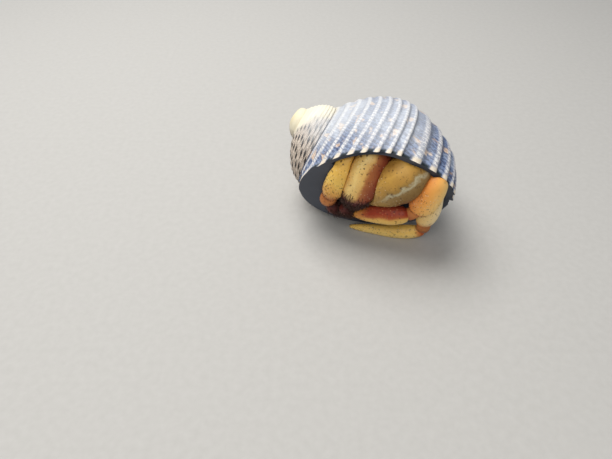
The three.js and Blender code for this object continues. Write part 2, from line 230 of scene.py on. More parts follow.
def solid_mesh(name, points, quads, triangles=()):
    """An object at the origin with a closed mesh through points in mm. Faces that point inwards are
    turned round."""
    points = np.asarray(points, float) * MM
    triangles = np.asarray(triangles, int).reshape(-1, 3)
    quads = np.asarray(quads, int).reshape(-1, 4)
    fan = np.concatenate([quads[:, [0, 1, 2]], quads[:, [0, 2, 3]], triangles])
    corners = points[fan]
    if np.einsum("ij,ij->i", corners[:, 0], np.cross(corners[:, 1], corners[:, 2])).sum() < 0:
        quads, triangles = quads[:, ::-1], triangles[:, ::-1]
    mesh = bpy.data.meshes.new(name)
    mesh.vertices.add(len(points))
    mesh.vertices.foreach_set("co", points.astype(np.float32).ravel())
    mesh.loops.add(quads.size + triangles.size)
    corner_vertices = np.concatenate([quads.ravel(), triangles.ravel()])
    mesh.loops.foreach_set("vertex_index", corner_vertices.astype(np.int32))
    mesh.polygons.add(len(quads) + len(triangles))
    starts = np.concatenate([np.arange(len(quads)) * 4, quads.size + np.arange(len(triangles)) * 3])
    mesh.polygons.foreach_set("loop_start", starts.astype(np.int32))
    mesh.update(calc_edges=True)
    mesh.shade_smooth()
    made = bpy.data.objects.new(name, mesh)
    bpy.context.scene.collection.objects.link(made)
    return made


def read_array(items, key, width=1, kind=np.float32):
    """One property of every item of a mesh as an array, a row for each item where it has several
    numbers."""
    values = np.empty(len(items) * width, kind)
    items.foreach_get(key, values)
    return values.reshape(-1, width) if width > 1 else values


def closed_tube(name, rings):
    """A closed mesh through rings[row, column]: four neighbours make a face, the columns close on
    themselves, and a fan to its mean point closes each end ring."""
    rows, columns = rings.shape[:2]
    index = np.arange(rows * columns).reshape(rows, columns)
    beside = np.roll(index, -1, axis=1)
    quads = np.stack([index[:-1], beside[:-1], beside[1:], index[1:]], -1)
    first = np.stack([np.full(columns, rows * columns), beside[0], index[0]], -1)
    last = np.stack([np.full(columns, rows * columns + 1), index[-1], beside[-1]], -1)
    points = np.concatenate([rings.reshape(-1, 3), rings[[0, -1]].mean(1)])
    return solid_mesh(name, points, quads, np.concatenate([first, last]))


def combined(base, tool, operation):
    """The exact join (UNION), cut (DIFFERENCE) or overlap (INTERSECT) of two closed solids. Both are used
    up."""
    modifier = base.modifiers.new("combine", "BOOLEAN")
    modifier.solver = "MANIFOLD"
    modifier.operation = operation
    modifier.object = tool
    mesh = bpy.data.meshes.new_from_object(base.evaluated_get(bpy.context.evaluated_depsgraph_get()))
    made = bpy.data.objects.new(base.name, mesh)
    bpy.data.objects.remove(tool)
    bpy.data.objects.remove(base)
    bpy.context.scene.collection.objects.link(made)
    return made


def coil_stretch(start, end, sides, step, inset, ribbed):
    """Half a turn or less of the whorl as a closed tube."""
    rows = max(3, math.ceil((end - start) / step))
    turn = np.linspace(start, end, rows)[:, None]
    around = np.linspace(0, 2 * math.pi, sides, endpoint=False)[None, :]
    return closed_tube("coil", coil_point(*np.broadcast_arrays(turn, around), inset=inset, ribbed=ribbed))


def coil_solid(start, end, sides, step, inset=0.0, ribbed=False):
    """Several half turns joined into one solid, so that a whorl may lie on the one before it."""
    edges = np.linspace(start, end, math.ceil((end - start) / math.pi) + 1)
    body = coil_stretch(edges[0], edges[1], sides, step, inset, ribbed)
    for low, high in zip(edges[1:-1], edges[2:]):
        body = combined(body, coil_stretch(low, high, sides, step, inset, ribbed), "UNION")
    return body


mouth_across = np.cross([0, 0, 1], MOUTH_NORMAL)
mouth_across /= np.linalg.norm(mouth_across)
mouth_upwards = np.cross(MOUTH_NORMAL, mouth_across)


def callus_solid(inset):
    """The bulge beside the mouth: an ellipsoid centred on the mouth's plane, CALLUS_HALF long each
    way."""
    polar = np.linspace(0, math.pi, 61)[1:-1, None]
    around = np.linspace(0, 2 * math.pi, 96, endpoint=False)[None, :]
    ball = np.stack(np.broadcast_arrays(np.sin(polar) * np.cos(around), np.sin(polar) * np.sin(around),
                                        np.cos(polar)), -1)
    ball = ball * (CALLUS_HALF - inset)
    cos_tilt, sin_tilt = math.cos(CALLUS_TILT), math.sin(CALLUS_TILT)
    x = ball[..., 0] * cos_tilt - ball[..., 1] * sin_tilt
    y = ball[..., 0] * sin_tilt + ball[..., 1] * cos_tilt
    sideways = x[..., None] * mouth_across + y[..., None] * mouth_upwards
    return closed_tube("callus", sideways + ball[..., 2:] * MOUTH_NORMAL + MOUTH_CENTRE)


def block_beyond(normal, through, ahead=0.0):
    """A cube, BLOCK_SIZE long, that fills the space in front of a plane."""
    normal = normal / np.linalg.norm(normal)
    beside = np.cross(normal, [0.31, 0.2, 0.93])
    beside /= np.linalg.norm(beside)
    third = np.cross(normal, beside)
    square = ((-0.5, -0.5), (0.5, -0.5), (0.5, 0.5), (-0.5, 0.5))
    unit = np.array([[a, b, c] for c in (0, 1) for a, b in square]) * BLOCK_SIZE
    points = unit[:, :1] * beside + unit[:, 1:2] * third + (unit[:, 2:] + ahead) * normal + through
    faces = [[3, 2, 1, 0], [4, 5, 6, 7], [0, 1, 5, 4], [1, 2, 6, 5], [2, 3, 7, 6], [3, 0, 4, 7]]
    return solid_mesh("block", points, faces)


def mouth_room():
    """The open space inside the last whorls and the callus."""
    hollow = coil_solid(-1.5 * math.pi, LIP_ANGLE + 0.2, 72, math.radians(5), inset=SHELL_WALL)
    return combined(hollow, callus_solid(SHELL_WALL), "UNION")


def largest_part(mesh_object):
    """Keeps the connected part with the most vertices. Each vertex takes the lowest number among its
    neighbours until nothing changes."""
    mesh = mesh_object.data
    a, b = read_array(mesh.edges, "vertices", 2, np.int32).T
    label = np.arange(len(mesh.vertices))
    while True:
        low = np.minimum(label[a], label[b])
        new = label.copy()
        np.minimum.at(new, a, low)
        np.minimum.at(new, b, low)
        new = new[new]
        if (new == label).all():
            break
        label = new
    keep = label == np.bincount(label).argmax()
    if keep.all():
        return mesh_object
    shape = bmesh.new()
    shape.from_mesh(mesh)
    shape.verts.ensure_lookup_table()
    bmesh.ops.delete(shape, geom=[shape.verts[i] for i in np.flatnonzero(~keep)], context="VERTS")
    shape.to_mesh(mesh)
    shape.free()
    return mesh_object


def read_points(piece):
    """The piece's vertices in mm as an array."""
    return read_array(piece.data.vertices, "co", 3).astype(float) / MM


def write_points(piece, points):
    """Puts vertices in mm back into the mesh."""
    piece.data.vertices.foreach_set("co", (points * MM).astype(np.float32).ravel())
    piece.data.update()


def worn_apex(points):
    """The spire's tip worn down: height above a plane APEX_WORN below the tip is pressed to a low
    dome."""
    height = (points - SHELL_PLACE) @ COIL_AXES[:, 2] + APEX_WORN
    pressed = TIP_DOME * (1 - np.exp(-np.maximum(height, 0) / TIP_DOME))
    return points - np.where(height > 0, height - pressed, 0.0)[:, None] * COIL_AXES[:, 2]


deck_outward = np.cross(MOUTH_NORMAL, DECK_EDGE[1] - DECK_EDGE[0])
shell = coil_solid(-2 * math.pi * SHELL_TURNS, LIP_ANGLE, 10 * RIBS, math.radians(3.6), ribbed=True)
write_points(shell, worn_apex(read_points(shell)))
shell = combined(shell, callus_solid(0.0), "UNION")
shell = combined(shell, block_beyond(MOUTH_NORMAL, MOUTH_CENTRE), "DIFFERENCE")
past_edge = combined(mouth_room(), block_beyond(deck_outward, DECK_EDGE[0]), "INTERSECT")
behind_deck = combined(mouth_room(), block_beyond(-MOUTH_NORMAL, MOUTH_CENTRE, DECK_THICK), "INTERSECT")
shell = combined(shell, past_edge, "DIFFERENCE")
shell = combined(shell, behind_deck, "DIFFERENCE")
shell = combined(shell, block_beyond(np.array([0.0, 0.0, -1.0]), np.array([0.0, 0.0, 0.0])), "DIFFERENCE")
shell = largest_part(shell)
shell.name = shell.data.name = "nerite_shell"


def paint_attribute(piece, name, columns, domain="POINT"):
    """A three-number attribute on every vertex or face corner, which the material reads."""
    attribute = piece.data.attributes.new(name, "FLOAT_VECTOR", domain)
    attribute.data.foreach_set("vector", np.stack(columns, -1).astype(np.float32).ravel())


points = read_points(shell)
shell_turn, shell_around, shell_reach, last_reach = coil_place(points)
behind_mouth = (MOUTH_CENTRE - points) @ MOUTH_NORMAL
outside = np.clip((SURFACE_BAND - np.abs(shell_reach - 1)) / BAND_EDGE, 0, 1)
outside *= 1 - np.clip((INSIDE_MOUTH - last_reach) / BAND_EDGE, 0, 1) * np.clip(5 - behind_mouth, 0, 1)
above_worn_tip = (points - SHELL_PLACE) @ COIL_AXES[:, 2] + APEX_WORN
outside = np.maximum(outside, np.clip((above_worn_tip + 0.8) / 0.4, 0, 1))
rib = 0.5 * (1 - np.cos(RIBS * shell_around))
in_lip = np.clip(np.minimum(last_reach - LIP_REACH[0], LIP_REACH[1] - last_reach) / 0.03, 0, 1)
lip = np.exp(-np.maximum(behind_mouth, 0) / LIP_DEPTH) * in_lip
points += MOUTH_NORMAL * (SCALLOP * (rib - 0.35) * lip)[:, None]
write_points(shell, points)
paint_attribute(shell, "coil", [shell_turn, RIBS * shell_around / (2 * math.pi), behind_mouth])
# a face of the flat mouth keeps the painted shade of the inside up to its corners
face_forward = read_array(shell.data.polygons, "normal", 3) @ MOUTH_NORMAL > 0.7
face_sizes = read_array(shell.data.polygons, "loop_total", kind=np.int32)
corner_vertex = read_array(shell.data.loops, "vertex_index", kind=np.int32)
facing_mouth = np.repeat(face_forward, face_sizes) & (behind_mouth[corner_vertex] < 0.6)
paint_attribute(shell, "relief", [(1 - rib)[corner_vertex], np.where(facing_mouth, 0, outside[corner_vertex]),
                                  lip[corner_vertex]], "CORNER")
shell.data.set_sharp_from_angle(angle=math.radians(55))

shell_lime, tree, shader = new_material("ribbed_shell_lime", Roughness=0.55)


def painted(tree, name):
    """The three numbers of a painted attribute, as sockets."""
    vector = add(tree, "Attribute", attribute_name=name).outputs["Vector"]
    return add(tree, "SeparateXYZ", {"Vector": vector}).outputs


turn_value, rib_value, _ = painted(tree, "coil")
groove_value, outside_value, lip_value = painted(tree, "relief")
object_place = add(tree, "TexCoord").outputs["Object"]


def blend(tree, factor, low, high, kind="MIX"):
    """Two colours mixed by a factor."""
    mixed = add(tree, "Mix", {"Factor": factor}, data_type="RGBA", blend_type=kind)
    for key, value in ((6, low), (7, high)):
        if isinstance(value, bpy.types.NodeSocket):
            tree.links.new(value, mixed.inputs[key])
        else:
            mixed.inputs[key].default_value = (*value, 1.0)
    return mixed.outputs[2]


def between(tree, value, low, high, start=0.0, end=1.0):
    """A value carried smoothly from one range to another and kept inside it."""
    return add(tree, "MapRange", {"Value": value, "From Min": low, "From Max": high, "To Min": start,
                                  "To Max": end},
               interpolation_type="SMOOTHSTEP").outputs["Result"]


def maths(tree, kind, a, b=0.0):
    """One operation on two values."""
    return add(tree, "Math", {0: a, 1: b}, operation=kind).outputs[0]


def noise(tree, vector, scale, detail=2.0, roughness=0.5):
    """Fractal noise from 0 to 1 over the given vector."""
    inputs = {"Vector": vector, "Scale": scale, "Detail": detail, "Roughness": roughness}
    return add(tree, "TexNoise", inputs).outputs["Fac"]


def distance(tree, vector, centre):
    """How far the vector lies from a point, in metres."""
    return add(tree, "VectorMath", {0: vector, 1: centre}, operation="DISTANCE").outputs["Value"]


def times(tree, a, b):
    """The product of two values."""
    return maths(tree, "MULTIPLY", a, b)


def plus(tree, a, b):
    """The sum of two values."""
    return maths(tree, "ADD", a, b)


# along the coil, across the ribs: lines of growth, patches and dashes follow the surface
coil_vector = add(tree, "CombineXYZ", {"X": turn_value, "Y": times(tree, rib_value, 0.10),
                                       "Z": 0.0}).outputs[0]
growth = noise(tree, coil_vector, 42.0, 3.0, 0.6)
fine_growth = noise(tree, coil_vector, 150.0)
rows = maths(tree, "SINE", plus(tree, times(tree, turn_value, 130.0), times(tree, growth, 16.0)))
beads = between(tree, plus(tree, times(tree, rows, 0.20), fine_growth), 0.34, 0.66)
patch_vector = add(tree, "CombineXYZ", {"X": times(tree, turn_value, 6.0),
                                        "Y": times(tree, rib_value, 0.8), "Z": 0.0}).outputs[0]
patch_noise = noise(tree, patch_vector, 1.0, 3.0)
groove = between(tree, plus(tree, groove_value, times(tree, fine_growth, 0.30)), 0.26, 0.60)
white_rib = blend(tree, beads, (0.33, 0.35, 0.44), (0.84, 0.82, 0.80))
blue_gap = blend(tree, beads, (0.040, 0.060, 0.135), (0.19, 0.26, 0.44))
pale_gap = blend(tree, beads, (0.20, 0.25, 0.37), (0.46, 0.52, 0.64))
warm_patch = blend(tree, beads, (0.52, 0.34, 0.24), (0.80, 0.64, 0.50))
gap_colour = blend(tree, between(tree, patch_noise, 0.50, 0.66), blue_gap, pale_gap)
gap_colour = blend(tree, between(tree, patch_noise, 0.44, 0.37), gap_colour, warm_patch)
body_colour = blend(tree, groove, white_rib, gap_colour)

# the spire: rows of slanting black-brown strokes on tan, closer together than the ribs
row_number = maths(tree, "FLOOR", rib_value)
row_chance = add(tree, "TexWhiteNoise", {"W": row_number}, noise_dimensions="1D").outputs["Value"]
row_side = maths(tree, "ABSOLUTE", maths(tree, "SUBTRACT", maths(tree, "FRACT", rib_value), 0.5))
stroke_wave = maths(tree, "SINE", plus(tree, times(tree, turn_value, 17.0),
                                        plus(tree, times(tree, rib_value, 3.4),
                                              times(tree, row_chance, 2.4))))
uneven_stroke = plus(tree, stroke_wave, times(tree, maths(tree, "SUBTRACT", growth, 0.5), 2.2))
dash = times(tree, between(tree, uneven_stroke, 0.10, 0.50), between(tree, row_side, 0.40, 0.26))
tan_ground = blend(tree, beads, (0.50, 0.38, 0.30), (0.88, 0.78, 0.66))
spire_colour = blend(tree, dash, tan_ground, (0.028, 0.020, 0.020))
spire = between(tree, plus(tree, turn_value, times(tree, patch_noise, 1.4)), -1.5, -2.6)
coloured = blend(tree, spire, body_colour, spire_colour)
salmon = times(tree, times(tree, between(tree, turn_value, -1.2, -2.2),
                           between(tree, turn_value, -3.6, -2.8)),
               between(tree, patch_noise, 0.56, 0.62))
coloured = blend(tree, times(tree, salmon, 0.8), coloured, (0.68, 0.25, 0.16))

# wear and painted highlight: the spire's upper side is rubbed smooth and cream; the crown of the
# last whorl is partly bleached and partly painted highlight, whiter towards the top and the upper left
RUBBED_AT = (-0.0104, 0.0074, 0.0166)
BLEACHED_HIGHLIT_AT = (-0.0050, 0.0030, 0.0180)
YELLOW_TIP_AT = (-0.0139, 0.0076, 0.0160)
worn_noise = noise(tree, object_place, 260.0, 4.0)
place = add(tree, "SeparateXYZ", {"Vector": object_place})
from_patch = distance(tree, object_place, RUBBED_AT)
rubbed = between(tree, plus(tree, from_patch, times(tree, worn_noise, 0.0030)), 0.0080, 0.0058)
top_height = plus(tree, place.outputs["Z"], times(tree, worn_noise, 0.004))
from_crown = distance(tree, object_place, BLEACHED_HIGHLIT_AT)
pale_lit_side = between(tree, plus(tree, from_crown, times(tree, worn_noise, 0.004)), 0.0120, 0.0055)
# painted highlight with bleaching: the last whorl is whitened towards its top and its upper left, where the
# light falls
bleached_and_highlit = maths(tree, "MAXIMUM", times(tree, between(tree, top_height, 0.0190, 0.0240), 0.50),
                 times(tree, pale_lit_side, 0.66))
cream = blend(tree, worn_noise, (0.78, 0.69, 0.46), (0.84, 0.81, 0.72))
coloured = blend(tree, bleached_and_highlit, coloured, (0.78, 0.80, 0.82))
coloured = blend(tree, rubbed, coloured, cream)
from_apex = distance(tree, object_place, YELLOW_TIP_AT)
yellow_apex = times(tree, between(tree, from_apex, 0.0034, 0.0008), 0.55)
coloured = blend(tree, yellow_apex, coloured, (0.74, 0.60, 0.24))
notch = times(tree, between(tree, lip_value, 0.45, 0.80), between(tree, groove_value, 0.40, 0.70))
tooth = times(tree, between(tree, lip_value, 0.35, 0.70), between(tree, groove_value, 0.55, 0.25))
coloured = blend(tree, tooth, coloured, (0.82, 0.72, 0.58))
coloured = blend(tree, notch, coloured, (0.012, 0.022, 0.028))
# painted shade: the inside of the shell and the deck are painted dark grey-blue for the shade they lie in
painted_shade_inside = blend(tree, worn_noise, (0.030, 0.036, 0.052), (0.065, 0.075, 0.100))
coloured = blend(tree, outside_value, painted_shade_inside, coloured)
tree.links.new(coloured, shader.inputs["Base Color"])
tree.links.new(between(tree, outside_value, 0.0, 1.0, 0.50, 0.58), shader.inputs["Roughness"])
line_height = times(tree, maths(tree, "SUBTRACT", 1.0, rubbed),
                    plus(tree, times(tree, rows, 0.25), times(tree, fine_growth, 0.9)))
bump = add(tree, "Bump", {"Height": times(tree, line_height, outside_value), "Strength": 0.7,
                          "Distance": 0.00016})
tree.links.new(bump.outputs["Normal"], shader.inputs["Normal"])
shell.data.materials.clear()
shell.data.materials.append(shell_lime)
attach(shell, "root")
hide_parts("shell")


# ---------------------------------------------------------------- the small right claw
# Its palm closes the left half of the mouth, cream on its outer part and
# red-brown with pale grains beside the large claw. Hard jointed skin, hollow in
# life, hinged to the wrist inside the shell.
TIP_BLUNTNESS = 4
NEAREST_RINGS = 60
END_MARGIN = 0.03
SKIN_GAP = 0.08
DRAW_BACK, LEAST_SHARE = 0.03, 0.12
OUTWARDS = (0.0, -0.85, 0.53)


def spread_to_ends(count, margin):
    """Places from 0 to 1 that lie closer together towards both ends."""
    return 0.5 - 0.5 * np.cos(np.linspace(margin, math.pi - margin, count))


def blunted(at):
    """How full a form is at places from 0 to 1: 1 along the middle and 0 at its rounded ends."""
    return (1 - np.abs(1 - 2 * at) ** TIP_BLUNTNESS) ** (1 / TIP_BLUNTNESS)


def along_list(values, at):
    """A value read from a list that is spread evenly from 0 to 1."""
    return np.interp(at, np.linspace(0, 1, len(values)), values)


def smooth_path(knots, at):
    """Points at even lengths along a smooth curve through the knots: cubic pieces whose slope at a knot
    is that of the line between its neighbours."""
    knots = np.array(knots, float)
    padded = np.concatenate([2 * knots[:1] - knots[1:2], knots, 2 * knots[-1:] - knots[-2:-1]])
    fine = np.linspace(0, len(knots) - 1, 401)
    low = np.minimum(fine.astype(int), len(knots) - 2)
    t = (fine - low)[:, None]
    a, b, c, d = (padded[low + i] for i in range(4))
    bend, twist = 2 * a - 5 * b + 4 * c - d, 3 * b - a - 3 * c + d
    curve = 0.5 * (2 * b + (c - a) * t + bend * t ** 2 + twist * t ** 3)
    length = np.concatenate([[0], np.cumsum(np.linalg.norm(np.diff(curve, axis=0), axis=1))])
    wanted = np.asarray(at) * length[-1]
    return np.stack([np.interp(wanted, length, curve[:, i]) for i in range(3)], -1)


def limb_frames(sizes, at):
    """Centre, direction across, direction to the front, and half width and depth, at places from 0 to
    1."""
    nudge = 1e-3
    centre = smooth_path(sizes["path"], at)
    after, before = np.minimum(at + nudge, 1), np.maximum(at - nudge, 0)
    ahead = smooth_path(sizes["path"], after) - smooth_path(sizes["path"], before)
    ahead /= np.linalg.norm(ahead, axis=1, keepdims=True)
    across = np.cross(sizes.get("facing", OUTWARDS), ahead)
    across /= np.linalg.norm(across, axis=1, keepdims=True)
    front = np.cross(ahead, across)
    wide, deep = (along_list(sizes[key], at) / 2 * blunted(at) for key in ("wide", "deep"))
    return centre, across, front, wide, deep


def within_limb(points, sizes, gap):
    """Whether points lie in another limb piece grown by the gap: the nearest of NEAREST_RINGS rings is
    found, and the point is compared with that ring's ellipse."""
    at = spread_to_ends(NEAREST_RINGS, 0.02)
    centre, across, front, wide, deep = limb_frames(sizes, at)
    away = points[:, None] - centre[None]
    nearest = np.einsum("ijk,ijk->ij", away, away).argmin(1)
    chosen = away[np.arange(len(points)), nearest]
    a = np.einsum("ij,ij->i", chosen, across[nearest]) / (wide[nearest] + gap)
    b = np.einsum("ij,ij->i", chosen, front[nearest]) / (deep[nearest] + gap)
    ahead = np.cross(across, front)[nearest]
    past = np.abs(np.einsum("ij,ij->i", chosen, ahead)) > 0.35
    return (np.hypot(a, b) < 1) & ~(past & ((nearest == 0) | (nearest == NEAREST_RINGS - 1)))


def within_shell(points, gap):
    """Whether points lie in the shell's wall or deck grown by the gap, that is behind the mouth's plane
    and neither in the hollow whorl nor in the hollow callus, or in the deck."""
    behind = (MOUTH_CENTRE - points) @ MOUTH_NORMAL
    room = SHELL_WALL + gap
    open_space = np.zeros(len(points), bool)
    for turn, size, away, rise in coil_sections(points, (-1, 0)):
        wide = away / (1 - RING_CENTRE - room / size)
        high = rise / (np.where(rise > 0, RING_UP, RING_DOWN) - room / size)
        inside = np.abs(wide) ** (2 / RING_POWER) + np.abs(high) ** (2 / RING_POWER) < 1
        open_space |= inside & (turn > -1.5 * math.pi) & (turn < LIP_ANGLE + 0.2)
    x, y = (points - MOUTH_CENTRE) @ mouth_across, (points - MOUTH_CENTRE) @ mouth_upwards
    cos_tilt, sin_tilt = math.cos(CALLUS_TILT), math.sin(CALLUS_TILT)
    ball = np.stack([x * cos_tilt + y * sin_tilt, y * cos_tilt - x * sin_tilt, behind],
                    -1) / (CALLUS_HALF - room)
    open_space |= (ball ** 2).sum(1) < 1
    past_edge = (points - DECK_EDGE[0]) @ (deck_outward / np.linalg.norm(deck_outward)) > gap
    open_space &= past_edge | (behind > DECK_THICK + gap)
    return (behind > -gap) & ~open_space


def limb_surface(sizes, neighbours, rows, columns):
    """A limb piece as rings round a smooth path, with blunt ends. Where a ring point would enter the
    shell or a neighbour it is drawn back towards the path, and the shoulders of such places are
    rounded."""
    at = spread_to_ends(rows, END_MARGIN)
    centre, across, front, wide, deep = limb_frames(sizes, at)
    angle = np.linspace(0, 2 * math.pi, columns, endpoint=False)
    square = sizes.get("square", 1.0)
    side, facing = signed_power(np.cos(angle), square), signed_power(np.sin(angle), square)
    arm = (wide[:, None, None] * side[None, :, None] * across[:, None]
           + deep[:, None, None] * facing[None, :, None] * front[:, None])
    start = np.broadcast_to(centre[:, None], arm.shape).reshape(-1, 3)
    arm = arm.reshape(-1, 3)
    share = np.ones(len(arm))

    def blocked(some):
        spots = start[some] + arm[some] * share[some, None]
        hit = within_shell(spots, SKIN_GAP)
        for other in neighbours:
            hit |= within_limb(spots, other, SKIN_GAP)
        return hit

    active = np.flatnonzero(blocked(np.arange(len(arm))))
    while len(active):
        share[active] -= DRAW_BACK
        active = active[share[active] > LEAST_SHARE]
        active = active[blocked(active)]
    field = share.reshape(rows, columns)
    for _ in range(3):
        spread = sum(np.roll(field, k, 1) for k in range(-2, 3)) / 5
        padded = np.concatenate([spread[:1], spread[:1], spread, spread[-1:], spread[-1:]])
        spread = sum(padded[k:k + rows] for k in range(5)) / 5
        field = np.minimum(field, spread)
    rings = (start + arm * field.reshape(-1, 1)).reshape(rows, columns, 3)
    rings[..., 2] = np.maximum(rings[..., 2], 0.0)
    marks = [np.broadcast_to(at[:, None], field.shape), np.broadcast_to(side[None], field.shape),
             np.broadcast_to(facing[None], field.shape)]
    return rings, marks


def cell_grains(points, size, seed):
    """Rounded grains, 1 at a grain's top and 0 between: each cube of the given size holds one point by
    chance, and the distance to the nearest such point is turned into a dome."""
    cell = np.floor(points / size).astype(np.int64)
    best = np.full(len(points), 9.0)
    for step in np.ndindex(3, 3, 3):
        near = cell + np.array(step) - 1
        mixed = (near[:, 0] * 73856093) ^ (near[:, 1] * 19349663) ^ (near[:, 2] * 83492791) ^ seed
        chance = np.stack([((mixed * k) % 1009) / 1009 for k in (7919, 6101, 4421)], -1)
        away = np.linalg.norm((near + 0.15 + 0.7 * chance) * size - points, axis=1)
        best = np.minimum(best, away / size)
    return np.clip(1 - (best / 0.42) ** 2, 0, 1)


def limb_piece(name, node, sizes, neighbours, material, rows=120, columns=96, grain=None):
    """One hard piece of a limb, with grains raised where `grain` = (height, size, from, to) says, as
    shares of its length, replacing its CAD node."""
    rings, marks = limb_surface(sizes, neighbours, rows, columns)
    raised = np.zeros(rows * columns)
    if grain:
        height, size, low, high = grain
        flat = rings.reshape(-1, 3)
        where = np.clip((marks[0] - low) / 0.08, 0, 1) * np.clip((high - marks[0]) / 0.08, 0, 1)
        raised = cell_grains(flat, size, len(name)) * where.reshape(-1)
        outward = np.cross(np.roll(rings, -1, 1) - np.roll(rings, 1, 1), np.gradient(rings, axis=0))
        outward /= np.linalg.norm(outward, axis=2, keepdims=True) + 1e-9
        middle = rings.mean(1, keepdims=True)
        outward *= np.sign(((rings - middle) * outward).sum(2, keepdims=True))
        rings = rings + outward * (height * raised).reshape(rows, columns, 1)
        rings[..., 2] = np.maximum(rings[..., 2], 0.0)
    piece = closed_tube(name, rings)
    ends = [m.reshape(rows, columns)[[0, -1]].mean(1) for m in marks]
    paint_attribute(piece, "limb", [np.concatenate([m.reshape(-1), e]) for m, e in zip(marks, ends)])
    paint_attribute(piece, "grains", [np.concatenate([raised, [0, 0]])] * 3)
    piece.data.materials.append(material)
    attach(piece, "root")
    if node:
        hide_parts(node)
    return piece


def inner_pieces(name, node, sizes, outer):
    """The wrist and arm that carry a limb's outer piece, out of sight in the shell."""
    for common, part, other in (("wrist", "carpus", outer), ("arm", "merus", "carpus")):
        limb_piece(f"{name}_{common}", f"{node}_{part}", sizes[part], [sizes[other]], inner_skin,
                   60, 48)


def specks_group():
    """A shared effect: fine dark specks and pores on hard skin, with the height for their relief."""
    group = bpy.data.node_groups.new("skin_specks", "ShaderNodeTree")
    for name, kind in (("Colour", "NodeSocketColor"), ("Speck Colour", "NodeSocketColor"),
                       ("Amount", "NodeSocketFloat")):
        group.interface.new_socket(name, in_out="INPUT", socket_type=kind)
    for name, kind in (("Colour", "NodeSocketColor"), ("Height", "NodeSocketFloat")):
        group.interface.new_socket(name, in_out="OUTPUT", socket_type=kind)
    given, result = group.nodes.new("NodeGroupInput"), group.nodes.new("NodeGroupOutput")
    place = add(group, "TexCoord").outputs["Object"]
    fine = noise(group, place, 2400.0)
    coarse = noise(group, place, 700.0)
    gathered = times(group, between(group, fine, 0.58, 0.68), between(group, coarse, 0.38, 0.60))
    spots = times(group, gathered, given.outputs["Amount"])
    speckled = blend(group, spots, given.outputs["Colour"], given.outputs["Speck Colour"])
    group.links.new(speckled, result.inputs["Colour"])
    group.links.new(fine, result.inputs["Height"])
    return group


SKIN_SPECKS = specks_group()


def horn_skin(name, stops, bands=(), specks=0.5, speck_colour=(0.05, 0.015, 0.01),
              grain_colour=(0.88, 0.74, 0.50), roughness=0.40, by="side", wander_by=0.35):
    """The hard skin's finish: colours across or along the piece, bands (start, end, colour) towards its
    ends, fine dark specks, pale grains and a slightly uneven gloss."""
    material, tree, shader = new_material(name, Specular_IOR_Level=0.28)
    along, sideways, _ = painted(tree, "limb")
    place = add(tree, "TexCoord").outputs["Object"]
    uneven = noise(tree, place, 420.0, 4.0, 0.6)
    wander = times(tree, maths(tree, "SUBTRACT", uneven, 0.5), wander_by)
    across = times(tree, plus(tree, sideways, 1.0), 0.5)
    source = across if by == "side" else along
    ramp = add(tree, "ValToRGB", {"Fac": plus(tree, source, wander)})
    for at, colour in stops[1:-1]:
        ramp.color_ramp.elements.new(at).color = (*colour, 1.0)
    ramp.color_ramp.elements[0].color = (*stops[0][1], 1.0)
    ramp.color_ramp.elements[-1].color = (*stops[-1][1], 1.0)
    colour = ramp.outputs["Color"]
    for start, end, tint in bands:
        towards = between(tree, plus(tree, along, times(tree, wander, 0.5)), start, end)
        colour = blend(tree, towards, colour, tint)
    speckled = tree.nodes.new("ShaderNodeGroup")
    speckled.node_tree = SKIN_SPECKS
    tree.links.new(colour, speckled.inputs["Colour"])
    speckled.inputs["Speck Colour"].default_value = (*speck_colour, 1.0)
    speckled.inputs["Amount"].default_value = specks
    grain = painted(tree, "grains")[0]
    colour = blend(tree, between(tree, grain, 0.50, 1.0, 0.0, 0.62), speckled.outputs["Colour"], grain_colour)
    tree.links.new(colour, shader.inputs["Base Color"])
    tree.links.new(between(tree, uneven, 0.3, 0.7, roughness - 0.08, roughness + 0.12),
                   shader.inputs["Roughness"])
    bump = add(tree, "Bump", {"Height": speckled.outputs["Height"], "Strength": 0.35, "Distance": 0.00006})
    tree.links.new(bump.outputs["Normal"], shader.inputs["Normal"])
    return material


RIGHT_CLAW = {
    "palm": {"path": [[0.87, -6.17, 18.3], [0.2, -7.56, 17.4], [-1.29, -8.77, 14.0], [-2.54, -8.88, 10.2],
                      [-2.93, -7.76, 6.9]],
             "wide": [4.2, 5.6, 5.9, 5.9, 5.6, 4.4, 2.2], "deep": [2.6, 3.4, 3.8, 3.8, 3.4, 2.6, 1.6],
             "square": 0.88},
    "dactyl": {"path": [[-4.68, -8.47, 7.5], [-3.68, -8.07, 6.1], [-1.98, -7.56, 4.9]],
               "wide": [2.2, 2.1, 1.6, 0.9], "deep": [1.9, 1.8, 1.4, 0.8]},
    "carpus": {"path": [[-1.08, -3.37, 13.8], [-0.38, -5.26, 16.4]], "wide": [2.6, 3.3, 3.5],
               "deep": [2.4, 3.0, 3.0]},
    "merus": {"path": [[-0.25, -0.38, 11.0], [-0.85, -2.78, 13.5]], "wide": [2.2, 2.8, 2.8],
              "deep": [2.0, 2.6, 2.6]},
}
